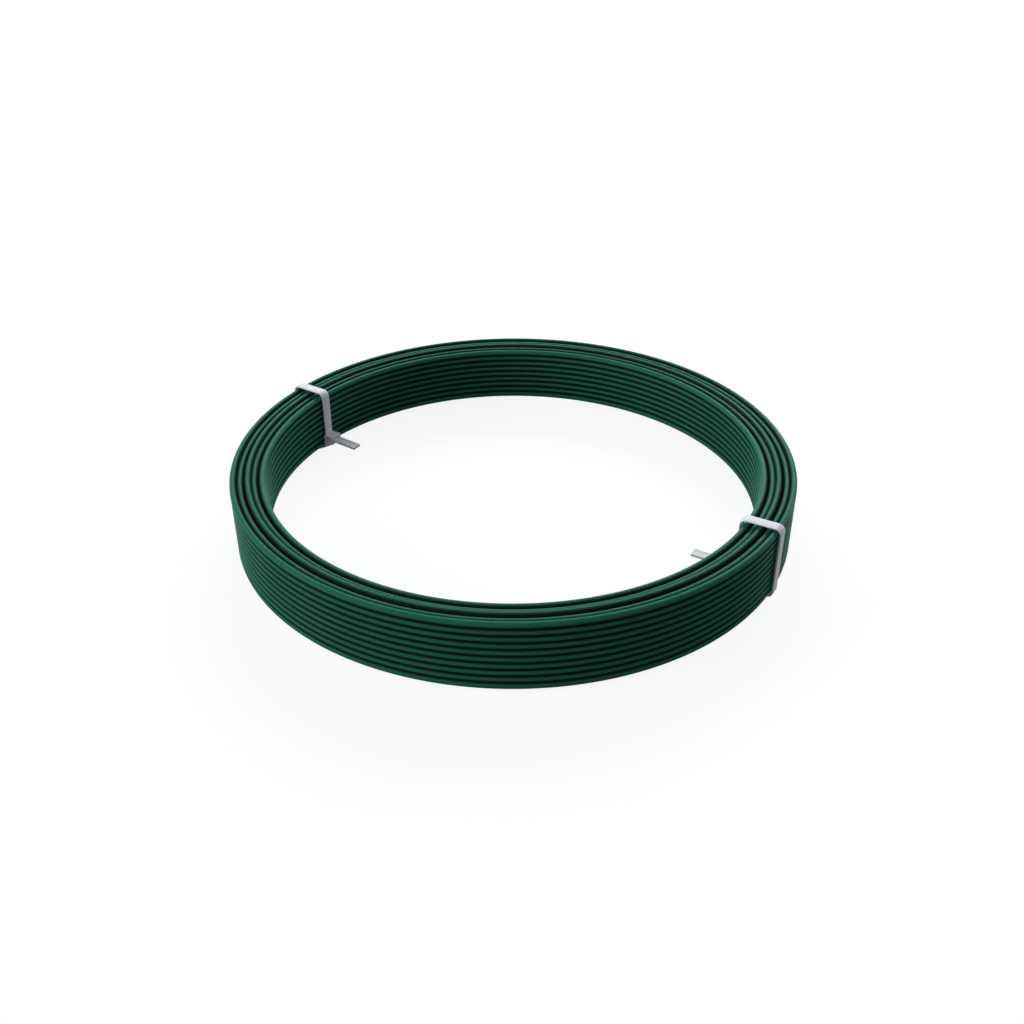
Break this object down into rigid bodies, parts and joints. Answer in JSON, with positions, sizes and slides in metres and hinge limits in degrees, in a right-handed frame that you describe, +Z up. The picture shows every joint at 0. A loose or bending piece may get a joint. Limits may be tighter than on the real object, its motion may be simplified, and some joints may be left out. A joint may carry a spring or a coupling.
{
  "type": "coil of coated wire",
  "caption": "Flat round coil of green plastic-coated steel wire, wound in close layers around an open eye and bound with white nylon cable ties.",
  "frame": {"origin": "on the axis of the ring, at the level of the floor that the coil lies on", "axes": "+Z up along the axis of the ring, +X to the right and +Y to the back as the picture shows it"},
  "size_m": [0.18, 0.18, 0.0242],
  "materials": {
    "wire_coating": "dark green PVC coating, satin",
    "tie_nylon": "natural white nylon"
  },
  "bodies": {
    "root": {"wire_coil": "wire_coating", "cable_tie_left": "tie_nylon", "cable_tie_right": "tie_nylon"}
  },
  "joints": []
}
